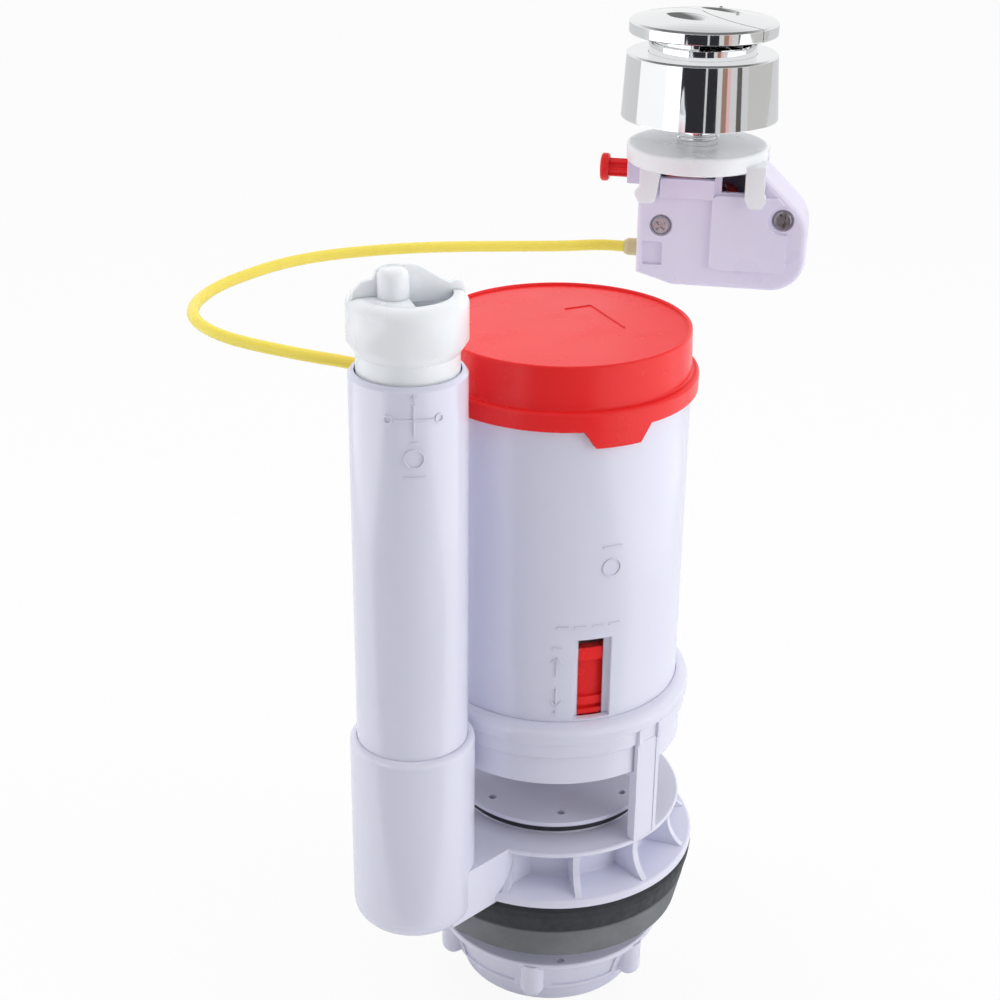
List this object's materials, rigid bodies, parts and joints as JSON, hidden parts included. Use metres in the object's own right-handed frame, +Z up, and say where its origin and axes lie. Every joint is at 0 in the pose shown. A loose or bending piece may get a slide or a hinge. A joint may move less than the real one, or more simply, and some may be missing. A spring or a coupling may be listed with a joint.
{
  "type": "toilet flush valve",
  "caption": "Cable-operated dual flush valve: outlet base with tower, red cap and adjustable overflow, joined by a yellow cable to a chrome push-button unit.",
  "frame": {"origin": "centre of the outlet tail at its lower end", "axes": "+Z up the tower axis, +X to the right and -Y to the front of the pictured side"},
  "size_m": [0.216, 0.2189, 0.2992],
  "materials": {
    "white_abs": "glossy lavender-white moulding",
    "box_abs": "satin lavender moulding",
    "red_abs": "glossy red moulding",
    "clear_pp": "natural translucent moulding",
    "ivory_pom": "satin natural moulding",
    "ferrule_pp": "pale translucent moulding",
    "black_rubber": "matt black rubber",
    "grey_rubber": "matt grey foam rubber",
    "chrome": "mirror chrome plate",
    "steel": "plain steel",
    "yellow_sheath": "smooth yellow sheath"
  },
  "bodies": {
    "frame": {"outlet_base": "white_abs", "locking_cage": "white_abs", "overflow_tube": "white_abs", "tower_shell": "white_abs", "spindle_guide": "white_abs", "crank_frame": "white_abs", "box_front": "box_abs", "box_rear": "box_abs", "tower_cap": "red_abs", "clamp_bracket": "clear_pp", "tower_gland": "clear_pp", "box_ferrule": "ferrule_pp", "black_washer": "black_rubber", "grey_washer": "grey_rubber", "lid_skirt": "chrome", "threaded_stem": "chrome", "box_screws": "steel", "crank_pin": "steel", "lever_pin": "steel", "lever_spring": "steel", "full_key_spring": "steel", "half_key_spring": "steel", "cable_sheath": "yellow_sheath"},
    "full_key_body": {"full_key": "chrome"},
    "half_key_body": {"half_key": "chrome"},
    "lever_body": {"pull_lever": "red_abs"},
    "box_wire_body": {"box_wire": "steel"},
    "tower_wire_body": {"tower_wire": "steel"},
    "crank_body": {"bell_crank": "ivory_pom"},
    "valve_body": {"lift_spindle": "white_abs", "float_cup": "ivory_pom", "valve_disc": "white_abs", "valve_seal": "black_rubber", "seal_retainer": "white_abs"},
    "lock_body": {"lock_pin": "red_abs"},
    "volume_body": {"volume_slider": "red_abs"},
    "overflow_seal_body": {"overflow_seal": "black_rubber"},
    "overflow_body": {"overflow_slider": "clear_pp"},
    "nut_body": {"back_nut": "white_abs"}
  },
  "joints": [
    {"name": "full_key_press", "type": "slide", "parent": "frame", "child": "full_key_body", "axis": [0, 0, -1], "range_m": [0, 0.006], "stiffness_N_per_m": 400, "springref_m": -0.003, "deforming": ["full_key_spring"]},
    {"name": "half_key_press", "type": "slide", "parent": "frame", "child": "half_key_body", "axis": [0, 0, -1], "range_m": [0, 0.006], "stiffness_N_per_m": 400, "springref_m": -0.003, "deforming": ["half_key_spring"]},
    {"name": "pull_lever_turn", "type": "hinge", "parent": "frame", "child": "lever_body", "pos_m": [0.06085, 0.12626, 0.229], "axis": [-0.1736, -0.9848, 0], "range_deg": [0, 38.37]},
    {"name": "box_wire_pull", "type": "slide", "parent": "frame", "child": "box_wire_body", "axis": [0.9848, -0.1736, 0], "range_m": [0, 0.01079]},
    {"name": "tower_wire_pull", "type": "slide", "parent": "frame", "child": "tower_wire_body", "axis": [-0.9397, 0.342, 0], "range_m": [0, 0.01079]},
    {"name": "bell_crank_turn", "type": "hinge", "parent": "frame", "child": "crank_body", "pos_m": [-0.01503, 0.00547, 0.19], "axis": [-0.342, -0.9397, 0], "range_deg": [0, 38.37]},
    {"name": "valve_lift", "type": "slide", "parent": "frame", "child": "valve_body", "axis": [0, 0, 1], "range_m": [0, 0.01052]},
    {"name": "lock_pin_pull", "type": "slide", "parent": "frame", "child": "lock_body", "axis": [-0.9848, 0.1736, 0], "range_m": [0, 0.0075]},
    {"name": "volume_set", "type": "slide", "parent": "frame", "child": "volume_body", "axis": [0, 0, 1], "range_m": [0, 0.018]},
    {"name": "overflow_height", "type": "slide", "parent": "frame", "child": "overflow_seal_body", "axis": [0, 0, 1], "range_m": [-0.005, 0.06]},
    {"name": "overflow_twist", "type": "hinge", "parent": "overflow_seal_body", "child": "overflow_body", "pos_m": [-0.04412, -0.04412, 0.15], "axis": [0, 0, 1], "range_deg": [-90, 0]},
    {"name": "back_nut_advance", "type": "slide", "parent": "frame", "child": "nut_body", "axis": [0, 0, 1], "range_m": [-0.005, 0.0075]}
  ],
  "couplings": [
    {"joint": "pull_lever_turn", "follows": "full_key_press", "rad_per_m": 111.6},
    {"joint": "box_wire_pull", "follows": "full_key_press", "ratio": 1.7974},
    {"joint": "tower_wire_pull", "follows": "full_key_press", "ratio": 1.7974},
    {"joint": "bell_crank_turn", "follows": "full_key_press", "rad_per_m": 111.6},
    {"joint": "valve_lift", "follows": "full_key_press", "ratio": 1.7524}
  ]
}
